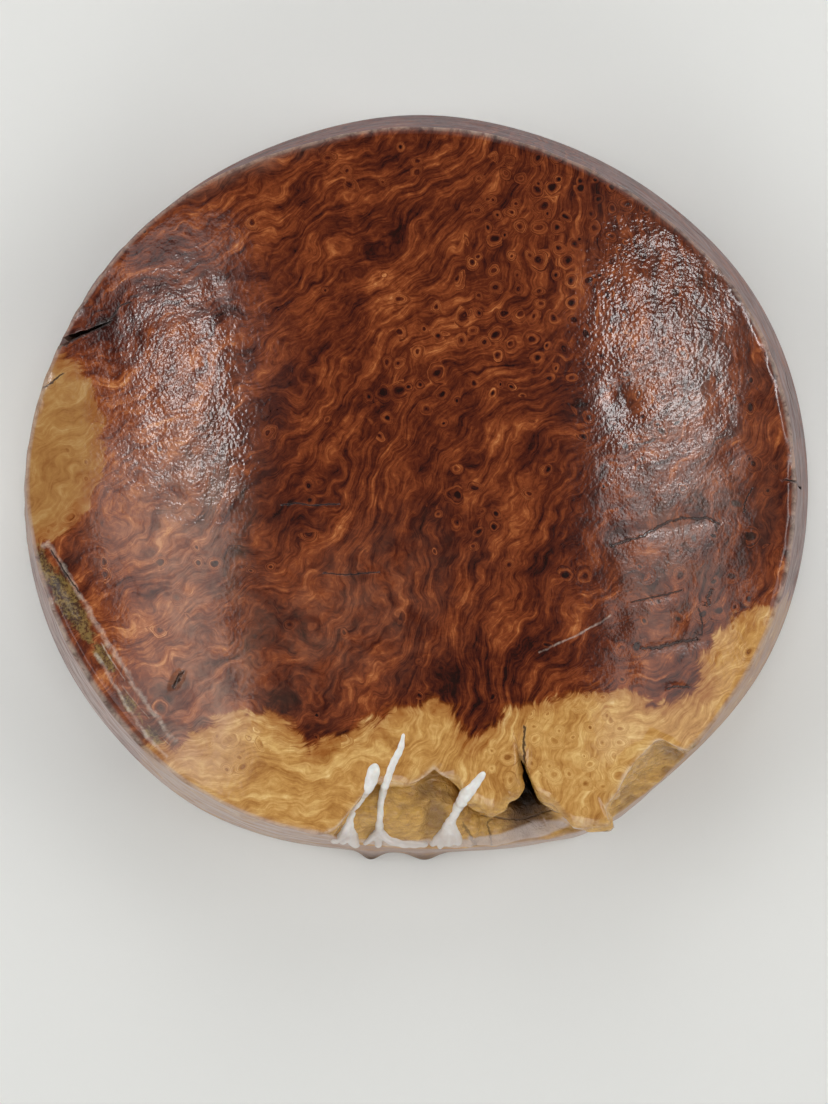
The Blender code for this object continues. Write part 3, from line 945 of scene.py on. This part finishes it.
HEARTWOOD = (
    (0.0, (0.013, 0.003, 0.002)), (0.22, (0.043, 0.0065, 0.003)), (0.45, (0.108, 0.0195, 0.006)),
    (0.68, (0.220, 0.049, 0.013)), (0.88, (0.400, 0.120, 0.034)), (1.0, (0.560, 0.230, 0.080)),
)
SAPWOOD = (
    (0.0, (0.170, 0.050, 0.010)), (0.3, (0.350, 0.145, 0.030)), (0.6, (0.550, 0.285, 0.080)),
    (0.85, (0.720, 0.455, 0.165)), (1.0, (0.820, 0.600, 0.280)),
)
AMBER = (0.270, 0.060, 0.006)
OLIVE = (0.235, 0.100, 0.032)
FILM_COLOUR = (0.620, 0.390, 0.270)
WALL_FILM = (0.160, 0.110, 0.122)
WALL_MILK = (0.600, 0.505, 0.465)
WAX_WHITE = (0.880, 0.870, 0.840)
WAX_SHADE = (0.740, 0.710, 0.660)
WAX_THIN = (0.560, 0.480, 0.430)
PALE_WAX = (0.800, 0.720, 0.600)
BARK_DARK = (0.040, 0.022, 0.012)
BARK_MOSS = (0.220, 0.150, 0.045)
SKIN_TAN = (
    (0.0, (0.090, 0.036, 0.009)), (0.35, (0.370, 0.170, 0.034)), (0.7, (0.680, 0.390, 0.092)),
    (1.0, (0.820, 0.560, 0.210)),
)
SKIN_SHADE = (0.140, 0.060, 0.018)
KNOB_BROWN = (0.190, 0.095, 0.040)
CREASE = (0.016, 0.006, 0.004)
# Near black: painted shade in the pocket and the checks, and the darkest bark on the knobs
HOLLOW_SHADE_AND_DARK_BARK = (0.018, 0.009, 0.004)


def wood_material():
    """Waxed burl: swirling fibres round eyes, red heartwood, gold sapwood and a milky film."""
    g = Graph("waxed_burl")
    p = g.place
    x, y, z = g.split(p)
    coarse = g.noise(p, 40.0, 1.0)
    middle = g.noise(p, 15.0, 1.0)
    fine = g.noise(g.vector("ADD", p, (31.0, 7.0, 3.0)), 5.5, 1.0)
    flow = g.add(
        "flow", g.times(coarse, 5.0), g.times(middle, 3.1), g.times(fine, 1.2)
    )

    # Burl eyes: the fibres close into rings round them
    warped = g.vector("ADD", p, g.combine(g.times(fine, 1.0), g.times(middle, 1.3), 0.0))
    away, own = g.cells(warped, 5.4)
    chosen = g.step(g.math("SUBTRACT", "eyes", own[0]), -0.02, 0.02)
    chosen = g.times(chosen, g.step("wall", 0.6, 0.2))
    size = g.math("MULTIPLY_ADD", g.times(own[1], own[1]), 0.5, 0.35)
    shaken = g.noise(p, 1.6, 2.0, 0.6)
    scaled = g.add(g.math("DIVIDE", away, size), g.times(shaken, 0.25))
    rings = g.times(chosen, g.step(scaled, 4.6, 1.6))
    flow = g.add(g.times(flow, g.math("SUBTRACT", 1.0, rings)), g.times(rings, away, 1.8))
    core = g.times(chosen, g.step(scaled, 1.7, 0.6))
    halo = g.times(chosen, g.step(scaled, 1.1, 2.1), g.step(scaled, 4.2, 2.3))

    # Fibres: bands that follow the flow, from broad flames to single strands
    def bands(across, along):
        return g.combine(g.times(flow, across), g.times(x, along), g.times(y, along))

    flame = g.noise(bands(0.26, 0.055), 1.0, 2.0)
    strand = g.noise(bands(0.80, 0.10), 1.0, 3.0, 0.6)
    hair = g.noise(bands(2.6, 0.30), 1.0, 3.0, 0.7)
    mottle = g.noise(g.vector("ADD", p, (5.0, 60.0, 9.0)), 3.2, 4.0, 0.65, 0.8)
    speck = g.noise(p, 0.9, 2.0, 0.7)
    blotch = g.noise(g.vector("ADD", p, (12.0, 90.0, 1.0)), 22.0, 3.0, 0.6, 0.9)
    figure = g.add(
        g.times(flame, 0.27), g.times(strand, 0.25), g.times(hair, 0.13), g.times(mottle, 0.16),
        g.times(speck, 0.045), g.times(blotch, 0.10),
    )
    light = g.add(figure, g.times("tone", 0.15), g.times(halo, 0.10), 0.46)
    light = g.math("SUBTRACT", light, g.times(core, 0.33), clamp=True)
    heart = g.ramp(light, HEARTWOOD)

    stain = g.noise(g.vector("ADD", p, (80.0, 3.0, 40.0)), 13.0, 3.0, 0.6, 0.7)
    pale = g.add(g.times(figure, 0.85), g.times(halo, 0.06), g.times(stain, 0.10), 0.58)
    pale = g.math("SUBTRACT", pale, g.times(core, 0.26), clamp=True)
    sap = g.ramp(pale, SAPWOOD)
    sap = g.mix(g.times("olive", 0.55), sap, OLIVE)

    # The ragged boundary between the two, with its amber fringe
    ragged = g.add(
        "sap", g.times(middle, 1.4), g.times(fine, 1.4), g.times(strand, 1.6),
        g.times(hair, 0.6), g.times(mottle, 0.7),
    )
    amber = g.times(g.step(g.add(ragged, g.times(stain, 2.0)), 6.5, 0.2), g.step(ragged, -2.5, 0.0))
    wood = g.mix(g.step(ragged, -0.8, 1.0), heart, sap)
    wood = g.mix(g.times(amber, 0.72), wood, g.mix(0.35, AMBER, wood))

    # Bark that grew in, the creases and the pale seams
    bark_shade = g.mix(g.step(g.add(mottle, speck), -0.6, 0.8), BARK_DARK, BARK_MOSS)
    bark_share = g.step(g.add("bark", g.times(mottle, 0.25)), 0.30, 0.62)
    wood = g.mix(g.times(bark_share, 0.85), wood, bark_shade)
    crease = g.math("ABSOLUTE", g.add("dark_line", g.times(shaken, 0.9)))
    crease = g.times(g.step(crease, 1.15, 0.35), g.step("dark_near", 0.3, 0.8))
    seam = g.math("ABSOLUTE", g.add("pale_line", g.times(shaken, 0.8), fine))
    seam = g.times(g.step(seam, 2.3, 0.0), g.step("pale_near", 0.3, 0.8))
    wood = g.mix(g.times(seam, g.step(mottle, -1.2, 1.0), 0.42), wood, PALE_WAX)

    # Milky wax lying on the face and, thicker, on the sawn wall
    cloud = g.step(g.add(g.noise(p, 9.0, 4.0, 0.65, 0.6), g.times(strand, 0.5)), -1.4, 1.2)
    film = g.times("film", cloud, 0.34)
    wood = g.mix(film, wood, FILM_COLOUR)
    sawn = g.noise(g.vector("MULTIPLY", p, (1.0, 1.0, 0.09)), 1.6, 3.0, 0.6)
    smear = g.noise(g.vector("MULTIPLY", p, (1.0, 1.0, 2.2)), 12.0, 3.0, 0.6)
    thick = g.step(g.add(g.times(sawn, 0.5), smear), -1.6, 1.4, 0.15, 0.80)
    wood = g.mix(g.times("wall", thick), wood, WALL_FILM)
    milk = g.times("milk", "wall", g.step(smear, -2.0, 1.2), 0.95)
    wood = g.mix(milk, wood, WALL_MILK)

    # Skin of the burl under the natural edge
    along = g.combine(g.times(x, 0.22), g.add(g.times(y, 0.8), g.times(middle, 0.9)), g.times(z, 0.6))
    grain = g.add(g.times(g.noise(along, 1.0, 4.0, 0.65), 0.20), g.times(mottle, 0.14), 0.58)
    # Painted shade: the skin darkens toward the bark pocket's hollow
    skin = g.ramp(g.math("SUBTRACT", grain, g.times("deep", 0.55), clamp=True), SKIN_TAN)
    wood = g.mix("skin", wood, skin)
    # Painted shade in the skin's hollows
    wood = g.mix(g.times("crevice_shade", 0.60), wood, SKIN_SHADE)
    faint = g.math("MULTIPLY_ADD", "skin", -0.35, 0.85)
    wood = g.mix(g.times(crease, faint), wood, CREASE)
    # Painted shade: the bark pocket's hollow painted near black
    wood = g.mix("deep", wood, HOLLOW_SHADE_AND_DARK_BARK)
    # Painted shade inside the drying checks
    wood = g.mix(g.times("cut", 0.9), wood, HOLLOW_SHADE_AND_DARK_BARK)
    bark = g.mix(g.step(mottle, -1.0, 1.0), HOLLOW_SHADE_AND_DARK_BARK, KNOB_BROWN)
    wood = g.mix(g.times("knob", 0.8), wood, bark)
    # Painted shade: the rolled-over natural edge darkened, tinted toward the knob brown
    roll_shade = g.times("roll_shade", g.step(mottle, -1.4, 0.9))
    wood = g.mix(roll_shade, wood, g.mix(0.5, wood, KNOB_BROWN))
    pool = g.times(g.step(g.add("pool", g.times(smear, 0.10)), 0.30, 0.62), 0.72)
    wood = g.mix(pool, wood, WALL_MILK)
    # Pale line on the arris: partly pale wax, partly a painted highlight
    arris_wax_and_highlight = g.times("arris_wax_and_highlight", g.step(mottle, -1.0, 0.6), 0.40)
    wood = g.mix(arris_wax_and_highlight, wood, g.mix("wall", PALE_WAX, FILM_COLOUR))

    # Relief too fine for the mesh
    pebble = g.noise(p, 1.15, 1.0, 0.5)
    grit = g.noise(p, 0.7, 1.0, 0.5)
    lump = g.noise(p, 4.5, 2.0, 0.5)
    height = g.add(
        g.times(pebble, g.math("MULTIPLY_ADD", "steep", 0.014, 0.003)),
        g.times(grit, "rough", 0.005), g.times(lump, "rough", 0.012),
        g.times(lump, 0.004), g.times(sawn, "wall", 0.06),
        g.times(mottle, "skin", 0.30), g.times(crease, -0.25), g.times(seam, 0.012),
    )
    normal = g.bump(height)
    g.set(g.surface, {
        "Base Color": wood, "Normal": normal, "Coat Normal": normal, "Coat Roughness": 0.07,
        "Roughness": g.add(g.times("skin", 0.12), 0.46), "Specular IOR Level": 0.0,
        "Coat Weight": g.math("MULTIPLY_ADD", "wall", -0.80, 1.0), "Coat IOR": 1.5,
    })
    return g.material


def wax_material():
    """White sealing wax, a little see-through where it thins out."""
    g = Graph("sealing_wax")
    cloud = g.noise(g.place, 2.4, 3.0, 0.6)
    white = g.mix(g.step(cloud, -1.2, 1.2), WAX_SHADE, WAX_WHITE)
    thin = g.step(g.add(g.split(g.place)[1], g.times(cloud, 1.5)), -99.0, -108.5)
    g.set(g.surface, {
        "Base Color": g.mix(g.times(thin, 0.75), white, WAX_THIN), "Roughness": 0.32,
        "Normal": g.bump(g.times(cloud, 0.03)), "Coat Weight": 0.6, "Coat Roughness": 0.12,
        "Subsurface Weight": 0.35, "Subsurface Radius": (0.003, 0.002, 0.0014),
    })
    return g.material


def draped(route, wood):
    """The route drawn finely, lying on the wood and easing over its corners."""
    table = np.array(route, float)
    along = np.concatenate([[0.0], np.cumsum(np.hypot(*np.diff(table[:, :2], axis=0).T))])
    fine = np.linspace(0.0, along[-1], int(along[-1] / WAX_STEP) + 2)
    placed = np.column_stack([along, table])
    x, y, radius = (through(placed, fine, column=c, limited=c == 3) for c in (1, 2, 3))
    down = Vector((0.0, 0.0, -1.0))
    start = 2.0 * THICKNESS * MM
    hits = [wood.ray_cast(Vector((a * MM, b * MM, start)), down)[0] for a, b in zip(x, y)]
    rest = np.array([hit.z / MM for hit in hits]) - WAX_SINK * radius
    height = rest.copy()
    for _ in range(WAX_SLACK):
        height[1:-1] = np.maximum(rest[1:-1], 0.5 * (height[:-2] + height[2:]))
    return zip(x, y, height, radius)


def make_wax_run(name, routes, wood, finish):
    """One run of wax: overlapping drops along its routes, melted into a single skin."""
    drops = bmesh.new()
    for route in routes:
        for x, y, z, radius in draped(route, wood):
            size = radius * (1.0 + 0.06 * math.sin(2.3 * x + 1.7 * y))
            made = bmesh.ops.create_icosphere(drops, subdivisions=2, radius=size * MM)
            bmesh.ops.translate(drops, verts=made["verts"], vec=Vector((x, y, z)) * MM)
    mesh = bpy.data.meshes.new(name)
    drops.to_mesh(mesh)
    drops.free()
    run = added(name, mesh)
    melt = run.modifiers.new("melt", "REMESH")
    melt.mode = "VOXEL"
    melt.voxel_size = WAX_VOXEL * MM
    soften = run.modifiers.new("soften", "SMOOTH")
    soften.factor = 0.5
    soften.iterations = 10
    apply(run)
    run.data.shade_smooth()
    run.data.materials.append(finish)
    return run


def make_floor():
    bpy.ops.mesh.primitive_circle_add(vertices=128, radius=FLOOR_RADIUS, fill_type="NGON")
    floor = bpy.context.object
    floor.name = "floor"
    made = bpy.data.materials.new("pale_floor")
    made.use_nodes = True
    shader = made.node_tree.nodes["Principled BSDF"]
    shader.inputs["Base Color"].default_value = (*FLOOR_COLOUR, 1.0)
    shader.inputs["Roughness"].default_value = 0.35
    floor.data.materials.append(made)


def area_light(name, place, aim, width, length, radiance):
    """A soft rectangular light. Its radiance is what a mirror would show of it."""
    data = bpy.data.lights.new(name, "AREA")
    data.shape = "RECTANGLE"
    data.size = width
    data.size_y = length
    data.energy = radiance * math.pi * width * length
    lamp = added(name, data)
    lamp.location = place
    lamp.rotation_euler = (Vector(aim) - Vector(place)).to_track_quat("-Z", "Y").to_euler()


def make_lights():
    face = THICKNESS * MM
    middle = (0.0, 0.0, face)
    for name, place, radiance in SOFT_LIGHTS:
        area_light(name, place, middle, SOFT_SIDE, SOFT_SIDE, radiance)
    for name, x, y, width, length, radiance in STRIPS:
        place = (NADIR[0] * MM + x, NADIR[1] * MM + y, face + STRIP_HEIGHT)
        area_light(name, place, (place[0], place[1], 0.0), width, length, radiance)
    world = bpy.data.worlds.new("room")
    world.use_nodes = True
    back = world.node_tree.nodes["Background"]
    back.inputs["Color"].default_value = (1.0, 1.0, 0.98, 1.0)
    sky = world.node_tree.nodes
    join = world.node_tree.links.new
    way = sky.new("ShaderNodeTexCoord")
    split = sky.new("ShaderNodeSeparateXYZ")
    fade = sky.new("ShaderNodeMapRange")
    fade.interpolation_type = "SMOOTHSTEP"
    for socket, value in zip(fade.inputs, (0.0, 0.0, CEILING_FROM, WALLS, CEILING)):
        socket.default_value = value
    join(way.outputs["Generated"], split.inputs[0])
    join(split.outputs["Z"], fade.inputs["Value"])
    join(fade.outputs["Result"], back.inputs["Strength"])
    bpy.context.scene.world = world


def make_camera():
    data = bpy.data.cameras.new("camera")
    data.sensor_fit = "HORIZONTAL"
    data.sensor_width = SENSOR
    data.lens = SENSOR * CAMERA_ABOVE_FACE / VIEW_WIDTH
    camera = added("camera", data)
    camera.location = (NADIR[0] * MM, NADIR[1] * MM, (THICKNESS + CAMERA_ABOVE_FACE) * MM)
    bpy.context.scene.camera = camera
    bpy.context.scene.view_settings.view_transform = "Standard"


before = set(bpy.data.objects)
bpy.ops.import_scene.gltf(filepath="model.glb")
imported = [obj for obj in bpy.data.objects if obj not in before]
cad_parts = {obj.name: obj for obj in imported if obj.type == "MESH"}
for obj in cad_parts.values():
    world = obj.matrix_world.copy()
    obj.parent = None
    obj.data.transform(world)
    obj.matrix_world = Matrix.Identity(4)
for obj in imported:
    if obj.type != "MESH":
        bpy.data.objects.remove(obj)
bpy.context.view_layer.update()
burl = make_burl()
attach(burl, "root")
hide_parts("burl_blank")
surface = BVHTree.FromPolygons(
    [vertex.co for vertex in burl.data.vertices],
    [face.vertices for face in burl.data.polygons],
)
finish = wax_material()
for node, routes in WAX_RUNS.items():
    run = make_wax_run("drip_" + node, routes, surface, finish)
    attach(run, "root")
    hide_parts(node)
make_floor()
make_lights()
make_camera()
